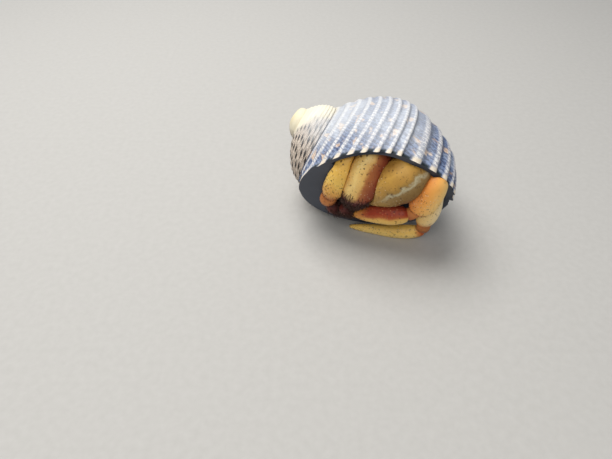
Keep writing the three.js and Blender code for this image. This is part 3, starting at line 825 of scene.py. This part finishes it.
# painted shade: the first band darkens the palm's root end, which lies in the shadow under the lip
cream_claw = horn_skin("cream_and_red_claw_skin", [(0.0, (0.62, 0.34, 0.08)), (0.22, (0.88, 0.62, 0.22)),
                                                   (0.42, (0.80, 0.48, 0.14)), (0.53, (0.42, 0.14, 0.04)),
                                                   (0.75, (0.28, 0.060, 0.022)), (1.0, (0.20, 0.04, 0.015))],
                       bands=[(0.16, 0.0, (0.20, 0.10, 0.03)), (0.66, 0.80, (0.09, 0.012, 0.012))],
                       specks=0.8)
dark_finger = horn_skin("dark_finger_skin", [(0.0, (0.10, 0.020, 0.014)), (1.0, (0.05, 0.009, 0.010))],
                        bands=[(0.55, 0.9, (0.03, 0.006, 0.01))], grain_colour=(0.26, 0.10, 0.06))
inner_skin = horn_skin("inner_limb_skin", [(0.0, (0.55, 0.27, 0.12)), (1.0, (0.66, 0.38, 0.20))])
limb_piece("small_claw_palm", "right_cheliped_palm", RIGHT_CLAW["palm"], [], cream_claw, 160, 144,
           grain=(0.05, 0.42, 0.15, 0.95))
limb_piece("small_claw_finger", "right_cheliped_dactyl", RIGHT_CLAW["dactyl"], [RIGHT_CLAW["palm"]],
           dark_finger, 80, 64, grain=(0.05, 0.35, 0.1, 0.95))
inner_pieces("small_claw", "right_cheliped", RIGHT_CLAW, "palm")


# ---------------------------------------------------------------- the left second leg
# The walking leg that folds over the front: an orange foot piece at the right
# edge, and a red-brown toe with grains that lies across. Hard jointed skin,
# held to the body by a wrist and an arm inside the shell.
LEFT_LEG_2 = {
    "propodus": {"path": [[9.92, -10.07, 15.9], [9.22, -11.88, 14.6], [8.12, -12.27, 12.0],
                          [6.92, -11.67, 9.0]],
                 "wide": [2.6, 3.5, 4.1, 4.4, 4.0], "deep": [2.2, 2.6, 2.8, 2.8, 2.5]},
    "dactyl": {"path": [[5.92, -11.47, 8.1], [2.52, -10.57, 7.4], [-0.78, -9.17, 6.4], [-3.48, -7.76, 5.3]],
               "wide": [3.2, 3.5, 3.2, 2.4, 1.0], "deep": [2.4, 2.5, 2.2, 1.6, 0.8]},
    "carpus": {"path": [[7.95, -4.47, 12.2], [9.35, -7.56, 13.7]], "wide": [2.6, 3.2, 3.2],
               "deep": [1.8, 2.2, 2.2]},
    "merus": {"path": [[3.35, -1.17, 11.0], [7.55, -3.98, 12.0]], "wide": [2.0, 2.6, 2.6],
              "deep": [1.6, 2.0, 2.0]},
}
# painted shade: the first band darkens the foot's root end, which lies in the shadow under the lip
orange_leg = horn_skin("orange_leg_skin", [(0.0, (0.74, 0.24, 0.05)), (0.45, (0.86, 0.40, 0.09)),
                                           (1.0, (0.90, 0.62, 0.22))],
                       bands=[(0.25, 0.05, (0.40, 0.14, 0.03)), (0.88, 1.0, (0.60, 0.16, 0.05))])
red_toe = horn_skin("red_toe_skin", [(0.0, (0.24, 0.035, 0.015)), (0.45, (0.34, 0.045, 0.016)),
                                     (0.62, (0.42, 0.10, 0.03)), (0.76, (0.72, 0.42, 0.10)),
                                     (1.0, (0.78, 0.52, 0.16))],
                    bands=[(0.58, 0.84, (0.60, 0.25, 0.05)), (0.95, 1.0, (0.80, 0.70, 0.52))], specks=0.7,
                    grain_colour=(0.66, 0.32, 0.12))
limb_piece("leg_2_left_toe", "left_leg_2_dactyl", LEFT_LEG_2["dactyl"], [RIGHT_CLAW["palm"]], red_toe,
           160, 96, grain=(0.06, 0.46, 0.08, 0.9))
limb_piece("leg_2_left_foot", "left_leg_2_propodus", LEFT_LEG_2["propodus"], [LEFT_LEG_2["dactyl"]],
           orange_leg, 140, 120, grain=(0.05, 0.45, 0.35, 0.95))
inner_pieces("leg_2_left", "left_leg_2", LEFT_LEG_2, "propodus")


# ---------------------------------------------------------------- the large left claw
# The big claw whose bulging olive-yellow palm closes the right half of the
# mouth like a door, of thick hard skin. Its movable finger points down and
# inwards, and its wrist and arm lie in the shell.
LEFT_CLAW = {
    "palm": {"path": [[8.92, -8.37, 16.5], [6.72, -9.88, 16.1], [4.02, -10.57, 14.6], [1.72, -10.17, 12.0],
                      [-0.58, -8.77, 8.6]],
             "wide": [5.0, 6.8, 7.4, 7.2, 6.0, 4.0, 1.9], "deep": [3.0, 4.0, 4.6, 4.6, 3.8, 2.6, 1.4],
             "square": 0.88},
    "dactyl": {"path": [[1.82, -7.76, 9.0], [0.22, -7.06, 6.9], [-1.38, -6.56, 5.4]],
               "wide": [2.6, 2.4, 1.7, 0.8], "deep": [2.2, 2.0, 1.4, 0.8]},
    "carpus": {"path": [[5.35, -5.36, 13.0], [7.75, -7.56, 14.8]], "wide": [3.0, 4.6, 4.8],
               "deep": [2.8, 3.6, 3.6]},
    "merus": {"path": [[2.05, -2.78, 10.2], [4.95, -4.97, 12.6]], "wide": [2.4, 3.2, 3.0],
              "deep": [2.2, 2.8, 2.8]},
}
# painted shade: the first band darkens the palm's root end, which lies in the shadow under the lip
olive_claw = horn_skin("olive_claw_skin", [(0.0, (0.34, 0.16, 0.03)), (0.25, (0.62, 0.35, 0.07)),
                                           (0.46, (0.50, 0.27, 0.055)), (0.56, (0.32, 0.19, 0.05)),
                                           (0.62, (0.50, 0.44, 0.28)), (0.68, (0.30, 0.19, 0.07)),
                                           (0.85, (0.24, 0.13, 0.03)), (1.0, (0.20, 0.08, 0.025))],
                       bands=[(0.30, 0.05, (0.16, 0.07, 0.02)), (0.55, 0.85, (0.42, 0.25, 0.07))],
                       wander_by=0.42, specks=0.6)
limb_piece("large_claw_palm", "left_cheliped_palm", LEFT_CLAW["palm"],
           [RIGHT_CLAW["palm"], *LEFT_LEG_2.values()], olive_claw, 180, 150,
           grain=(0.06, 0.50, 0.45, 0.98))
limb_piece("large_claw_finger", "left_cheliped_dactyl", LEFT_CLAW["dactyl"],
           [LEFT_CLAW["palm"], RIGHT_CLAW["palm"], LEFT_LEG_2["dactyl"]], dark_finger, 80, 64,
           grain=(0.05, 0.35, 0.1, 0.95))
inner_pieces("large_claw", "left_cheliped", LEFT_CLAW, "palm")


# ---------------------------------------------------------------- the left third leg
# The leg behind it, pale yellow hard skin, whose toe lies along the ground and
# bears weight together with the shell.
LEFT_LEG_3 = {
    "propodus": {"path": [[10.02, -9.77, 13.3], [9.62, -10.77, 11.4], [9.42, -10.77, 8.4],
                          [9.02, -9.97, 4.6]],
                 "wide": [2.4, 3.1, 3.5, 3.5, 3.2], "deep": [1.8, 2.2, 2.4, 2.4, 2.2]},
    "dactyl": {"path": [[9.92, -8.67, 2.0], [5.12, -7.97, 1.05], [0.92, -7.06, 0.8], [-2.95, -5.97, 0.42]],
               "wide": [2.8, 2.8, 2.4, 1.9, 1.5, 0.9], "deep": [2.4, 2.2, 2.0, 1.7, 1.3, 0.8]},
    "carpus": {"path": [[7.05, -4.56, 9.2], [9.55, -7.36, 11.3]], "wide": [2.2, 2.8, 2.8],
               "deep": [1.6, 2.0, 2.0]},
    "merus": {"path": [[2.55, -1.36, 8.7], [6.55, -4.17, 9.0]], "wide": [1.8, 2.4, 2.4],
              "deep": [1.6, 1.8, 1.8]},
}
yellow_leg = horn_skin("yellow_leg_skin", [(0.0, (0.80, 0.48, 0.10)), (0.45, (0.88, 0.56, 0.13)),
                                           (1.0, (0.90, 0.66, 0.24))],
                       bands=[(0.14, 0.02, (0.52, 0.12, 0.03))])
pale_leg = horn_skin("pale_leg_skin", [(0.0, (0.84, 0.54, 0.18)), (0.5, (0.89, 0.64, 0.28)),
                                       (1.0, (0.92, 0.74, 0.44))], bands=[(0.80, 1.0, (0.62, 0.24, 0.06))])
limb_piece("leg_3_left_toe", "left_leg_3_dactyl", LEFT_LEG_3["dactyl"], [], yellow_leg, 160, 72,
           grain=(0.04, 0.42, 0.1, 0.9))
limb_piece("leg_3_left_foot", "left_leg_3_propodus", LEFT_LEG_3["propodus"],
           [LEFT_LEG_2["propodus"], LEFT_LEG_3["dactyl"]], pale_leg, 120, 96,
           grain=(0.04, 0.42, 0.3, 0.95))
inner_pieces("leg_3_left", "left_leg_3", LEFT_LEG_3, "propodus")


# ---------------------------------------------------------------- the right legs
# The right second leg shows at the left of the mouth, yellow with brown
# blotches, its toe tucked under. The third stays behind the deck. Both are
# hard skin, hinged inside the shell.
RIGHT_LEG_2 = {
    "propodus": {"path": [[-2.38, -5.56, 17.3], [-3.38, -6.86, 16.5], [-4.98, -8.07, 14.2],
                          [-6.28, -8.17, 11.0], [-6.93, -7.56, 8.6]],
                 "wide": [2.6, 3.6, 4.0, 4.0, 3.8, 3.0], "deep": [2.0, 2.6, 2.8, 2.8, 2.8, 2.4]},
    "dactyl": {"path": [[-6.88, -7.06, 6.9], [-5.58, -7.17, 5.6], [-3.28, -6.76, 4.4]],
               "wide": [2.4, 2.3, 1.7, 1.1, 0.6], "deep": [2.1, 1.9, 1.4, 1.0, 0.6]},
    "carpus": {"path": [[-3.98, -2.18, 12.9], [-2.58, -4.56, 16.2]], "wide": [2.4, 2.8, 3.0],
               "deep": [1.8, 2.0, 2.0]},
    "merus": {"path": [[-1.05, -0.78, 9.9], [-4.05, -2.37, 11.9]], "wide": [2.0, 2.6, 2.6],
              "deep": [1.6, 2.0, 2.0]},
}
RIGHT_LEG_3 = {
    "propodus": {"path": [[-6.45, -3.28, 10.0], [-6.05, -3.58, 8.6], [-5.45, -2.98, 7.2]],
                 "wide": [2.0, 2.2, 2.2, 1.8], "deep": [1.4, 1.6, 1.6, 1.4]},
    "dactyl": {"path": [[-5.25, -2.58, 6.6], [-3.45, -2.78, 5.6], [-0.45, -3.18, 5.2]],
               "wide": [1.6, 1.5, 1.2, 0.9, 0.6], "deep": [1.4, 1.4, 1.1, 0.8, 0.6]},
    "carpus": {"path": [[-5.05, -0.98, 9.3], [-6.45, -2.78, 10.2]], "wide": [2.0, 2.4, 2.4],
               "deep": [1.6, 1.8, 1.8]},
    "merus": {"path": [[-1.95, -0.17, 8.6], [-4.65, -0.58, 9.2]], "wide": [1.8, 2.2, 2.2],
              "deep": [1.6, 1.8, 1.8]},
}
blotched_leg = horn_skin("blotched_leg_skin", [(0.0, (0.40, 0.18, 0.04)), (0.25, (0.74, 0.40, 0.07)),
                                               (0.60, (0.84, 0.54, 0.12)), (0.80, (0.72, 0.36, 0.08)),
                                               (0.90, (0.46, 0.16, 0.04)), (1.0, (0.42, 0.14, 0.04))],
                         specks=0.9, by="along")
limb_piece("leg_2_right_foot", "right_leg_2_propodus", RIGHT_LEG_2["propodus"], [RIGHT_CLAW["palm"]],
           blotched_leg, 140, 110, grain=(0.04, 0.45, 0.3, 0.95))
limb_piece("leg_2_right_toe", "right_leg_2_dactyl", RIGHT_LEG_2["dactyl"],
           [RIGHT_LEG_2["propodus"], RIGHT_CLAW["dactyl"], RIGHT_CLAW["palm"]], dark_finger,
           90, 64, grain=(0.04, 0.35, 0.1, 0.9))
inner_pieces("leg_2_right", "right_leg_2", RIGHT_LEG_2, "propodus")
limb_piece("leg_3_right_foot", "right_leg_3_propodus", RIGHT_LEG_3["propodus"], [], yellow_leg,
           60, 48)
limb_piece("leg_3_right_toe", "right_leg_3_dactyl", RIGHT_LEG_3["dactyl"], [RIGHT_LEG_3["propodus"]],
           yellow_leg, 60, 48)
inner_pieces("leg_3_right", "right_leg_3", RIGHT_LEG_3, "propodus")


# ---------------------------------------------------------------- the joints
# Where two hard pieces meet, a bellows of tough skin bridges them. Three show:
# under the right second leg as an orange-brown knob, and at both left legs.
JOINTS = {
    "knob_skin": {"path": [[-6.9, -7.5, 9.4], [-7.0, -7.3, 8.2], [-6.7, -7.0, 6.9]], "wide": [2.6, 3.1, 2.4],
                  "deep": [2.0, 2.3, 1.9]},
    "leg_2_joint_skin": {"path": [[7.5, -11.5, 9.6], [6.5, -11.4, 8.6], [5.5, -11.2, 7.8]],
                         "wide": [2.2, 2.2, 2.2], "deep": [1.5, 1.6, 1.5]},
    "leg_3_joint_skin": {"path": [[9.0, -9.8, 5.2], [9.4, -9.3, 3.4], [9.2, -8.6, 2.0]],
                         "wide": [2.4, 2.5, 2.2], "deep": [1.6, 1.7, 1.5]},
}
joint_skin = horn_skin("joint_skin", [(0.0, (0.46, 0.15, 0.04)), (0.5, (0.52, 0.19, 0.05)),
                                      (1.0, (0.30, 0.07, 0.03))], by="along", grain_colour=(0.60, 0.34, 0.16))
for name, sizes in JOINTS.items():
    limb_piece(name, None, sizes, [], joint_skin, 60, 64, grain=(0.03, 0.30, 0.05, 0.95))


# ---------------------------------------------------------------- the head and thorax
# Drawn back behind the claws: two black eyes on stalks, two pairs of mouth
# palps and feelers, the hard shield over the back, and the thorax under it.
FEELER = {"wide": [1.3, 1.0, 0.7, 0.6, 0.6], "deep": [1.2, 0.9, 0.7, 0.6, 0.6]}
PALP = {"wide": [1.4, 1.2, 0.8], "deep": [1.3, 1.1, 0.7]}
EYE = {"wide": [0.8, 1.1, 0.8], "deep": [0.8, 1.1, 0.8]}
EYESTALK = {"wide": [1.1, 0.8, 0.9], "deep": [0.9, 0.7, 0.8]}
HEAD_AND_BODY = {
    "left_eye": {"path": [[4.02, -5.86, 14.9], [4.32, -7.06, 15.1]], **EYE},
    "right_eye": {"path": [[2.32, -5.86, 15.0], [2.42, -7.06, 15.2]], **EYE},
    "left_eyestalk": {"path": [[2.42, -3.18, 14.2], [3.92, -5.47, 14.8]], **EYESTALK},
    "right_eyestalk": {"path": [[1.42, -3.18, 14.2], [2.22, -5.47, 14.9]], **EYESTALK},
    "shield": {"path": [[1.55, -3.37, 13.2], [1.75, 2.63, 14.8]],
               "wide": [4.0, 5.4, 6.4, 6.0], "deep": [1.4, 2.4, 2.8, 2.0], "facing": (0.0, 0.0, 1.0)},
    "thorax": {"path": [[1.35, -2.18, 10.6], [1.95, 3.22, 12.2]],
               "wide": [3.4, 4.4, 5.0, 4.8], "deep": [2.2, 3.2, 3.4, 3.0], "facing": (0.0, 0.0, 1.0)},
    "left_antenna": {"path": [[3.15, -3.37, 14.4], [5.15, -4.36, 15.8], [7.35, -4.97, 16.2],
                              [8.95, -4.97, 15.0]], **FEELER},
    "right_antenna": {"path": [[0.92, -3.18, 14.9], [0.12, -2.78, 16.2], [-1.28, -2.18, 16.8],
                               [-2.88, -1.76, 16.2]], **FEELER},
    "left_maxilliped": {"path": [[2.55, -4.36, 10.8], [2.75, -6.56, 11.4], [2.35, -7.56, 12.8]], **PALP},
    "right_maxilliped": {"path": [[0.75, -4.36, 11.0], [0.95, -6.56, 11.8], [1.15, -7.36, 13.2]], **PALP},
}
eye_gloss, tree, shader = new_material("black_eye", Roughness=0.08, Coat_Weight=0.6, Coat_Roughness=0.03)
shader.inputs["Base Color"].default_value = (0.012, 0.010, 0.010, 1.0)
head_skin = horn_skin("head_skin", [(0.0, (0.40, 0.18, 0.07)), (0.5, (0.56, 0.30, 0.13)),
                                    (1.0, (0.40, 0.18, 0.07))], specks=0.7)
beside_head = [LEFT_CLAW["palm"], LEFT_CLAW["carpus"], RIGHT_CLAW["palm"], RIGHT_CLAW["carpus"]]
for name, sizes in HEAD_AND_BODY.items():
    is_eye = name.endswith("eye")
    limb_piece(name, name, sizes, beside_head, eye_gloss if is_eye else head_skin,
               60, 48, grain=None if is_eye else (0.03, 0.40, 0.1, 0.9))


# ---------------------------------------------------------------- the soft abdomen
# One unarmoured, moist skin that follows the coil of the shell back from the
# thorax and grips it from inside. It is lightly folded across its length.
ABDOMEN_FROM, ABDOMEN_TO = -1.34 * math.pi, -0.52 * math.pi
ABDOMEN_INSET = SHELL_WALL + 1.4
at = spread_to_ends(150, END_MARGIN)[:, None]
around = np.linspace(0, 2 * math.pi, 96, endpoint=False)[None, :]
folded = 0.975 + 0.02 * np.sin(70 * at + 0.8 * np.sin(3 * around))
turn = ABDOMEN_FROM + (ABDOMEN_TO - ABDOMEN_FROM) * at
whorl_rings = np.broadcast_arrays(turn, around, blunted(at) * folded)
abdomen = closed_tube("soft_abdomen", coil_point(*whorl_rings, inset=ABDOMEN_INSET))
soft_skin, tree, shader = new_material("soft_abdomen_skin", Roughness=0.42, Subsurface_Weight=0.15,
                                       Subsurface_Scale=0.001)
mottle = noise(tree, add(tree, "TexCoord").outputs["Object"], 300.0, 4.0)
tree.links.new(blend(tree, mottle, (0.62, 0.30, 0.20), (0.42, 0.20, 0.17)), shader.inputs["Base Color"])
abdomen.data.materials.append(soft_skin)
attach(abdomen, "root")
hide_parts("abdomen_front", "abdomen_rear")


# ---------------------------------------------------------------- the bristles
# Stiff dark hairs that lean towards the tips: dense on the folded fingers and
# toes, short and scattered elsewhere. Each is a tapered three-sided spike.
bristle_brown, tree, shader = new_material("bristle_brown", Roughness=0.5)
hair_tone = noise(tree, add(tree, "TexCoord").outputs["Object"], 900.0)
tree.links.new(blend(tree, hair_tone, (0.030, 0.010, 0.008), (0.085, 0.030, 0.016)),
               shader.inputs["Base Color"])
BRISTLE_CORNERS = (0, 2.094, 4.189)
BRISTLE_POINTS = 7
ROOT_DEPTH = 0.03
LOWEST_BRISTLE = 0.01
PATCH_STEP = 0.0015


def bristle_coat(owner, count, length, thickness, start, end, sizes, seed):
    """Spikes rooted at vertices of a piece, more of them from `start` to `end` along it. Each bends from
    the surface's outward direction towards the piece's tip, and its bake patch lies at (angle round,
    place along)."""
    piece = bpy.data.objects[owner]
    chance = np.random.default_rng(seed)
    points = read_points(piece)
    normals = read_array(piece.data.vertex_normals, "vector", 3).astype(float)
    marks = read_array(piece.data.attributes["limb"].data, "vector", 3)
    weight = np.clip((marks[:, 0] - start) / max(end - start, 1e-3), 0, 1) * (marks[:, 0] < 0.985) + 1e-9
    chosen = chance.choice(len(points), count, replace=False, p=weight / weight.sum())
    ahead = np.array(sizes["path"][-1]) - np.array(sizes["path"][-2])
    ahead = ahead / np.linalg.norm(ahead)
    outward = normals[chosen]
    lean = 0.55 * outward + 0.65 * ahead + chance.normal(0, 0.16, (count, 3))
    lean /= np.linalg.norm(lean, axis=1, keepdims=True)
    long = length * chance.uniform(0.55, 1.25, (count, 1))
    root = points[chosen] - ROOT_DEPTH * outward
    side = np.cross(lean, [0.2, 0.1, 0.97])
    side /= np.linalg.norm(side, axis=1, keepdims=True)
    third = np.cross(lean, side)
    rings = []
    for share, taper in ((0.0, 1.0), (0.5, 0.75)):
        middle = root + (0.4 * share * outward + share * lean) * long
        radius = thickness / 2 * taper
        rings += [middle + radius * (math.cos(k) * side + math.sin(k) * third) for k in BRISTLE_CORNERS]
    tip = root + lean * long
    every = np.stack([*rings, tip], 1).reshape(-1, 3)
    every[:, 2] = np.maximum(every[:, 2], LOWEST_BRISTLE)
    base = np.arange(count)[:, None] * BRISTLE_POINTS
    quads = np.concatenate([base + [a, b, b + 3, a + 3] for a, b in ((0, 1), (1, 2), (2, 0))])
    corners = np.concatenate([base + [3, 4, 6], base + [4, 5, 6], base + [5, 3, 6], base + [2, 1, 0]])
    coat = solid_mesh(owner + "_bristles", every, quads, corners)
    around_place = np.arctan2(marks[chosen, 2], marks[chosen, 1]) / (2 * math.pi) % 1.0
    patch = np.stack([np.clip(around_place, 0.002, 0.995), np.clip(marks[chosen, 0], 0.002, 0.995)], -1)
    apart = [[0, 0], [1, 0], [0, 1], [0, 2], [1, 2], [2, 1], [2, 2]]
    spot = np.repeat(patch, BRISTLE_POINTS, axis=0) + PATCH_STEP * np.tile(apart, (count, 1))
    loops = read_array(coat.data.loops, "vertex_index", kind=np.int32)
    coat.data.uv_layers.new(name="OFBake").data.foreach_set("uv", spot[loops].astype(np.float32).ravel())
    coat.data.materials.append(bristle_brown)
    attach(coat, "root")


# the piece, how many, their length and thickness in mm, and between which shares
# of its length they grow denser
COATS = [
    ("small_claw_palm", 1300, 0.75, 0.10, 0.62, 0.90, RIGHT_CLAW["palm"]),
    ("small_claw_finger", 600, 0.8, 0.10, 0.0, 0.6, RIGHT_CLAW["dactyl"]),
    ("leg_2_right_toe", 600, 0.8, 0.10, 0.0, 0.6, RIGHT_LEG_2["dactyl"]),
    ("knob_skin", 90, 0.45, 0.07, 0.3, 1.0, JOINTS["knob_skin"]),
    ("leg_2_right_foot", 240, 0.32, 0.06, 0.35, 0.8, RIGHT_LEG_2["propodus"]),
    ("leg_2_left_toe", 160, 0.35, 0.06, 0.2, 1.0, LEFT_LEG_2["dactyl"]),
    ("leg_2_left_foot", 110, 0.28, 0.06, 0.2, 1.0, LEFT_LEG_2["propodus"]),
    ("leg_3_left_toe", 130, 0.32, 0.06, 0.2, 1.0, LEFT_LEG_3["dactyl"]),
    ("large_claw_palm", 220, 0.30, 0.06, 0.0, 0.3, LEFT_CLAW["palm"]),
    ("large_claw_finger", 160, 0.6, 0.08, 0.0, 0.6, LEFT_CLAW["dactyl"]),
]
for seed, (owner, count, length, thickness, start, end, sizes) in enumerate(COATS, 1):
    bristle_coat(owner, count, length, thickness, start, end, sizes, seed)
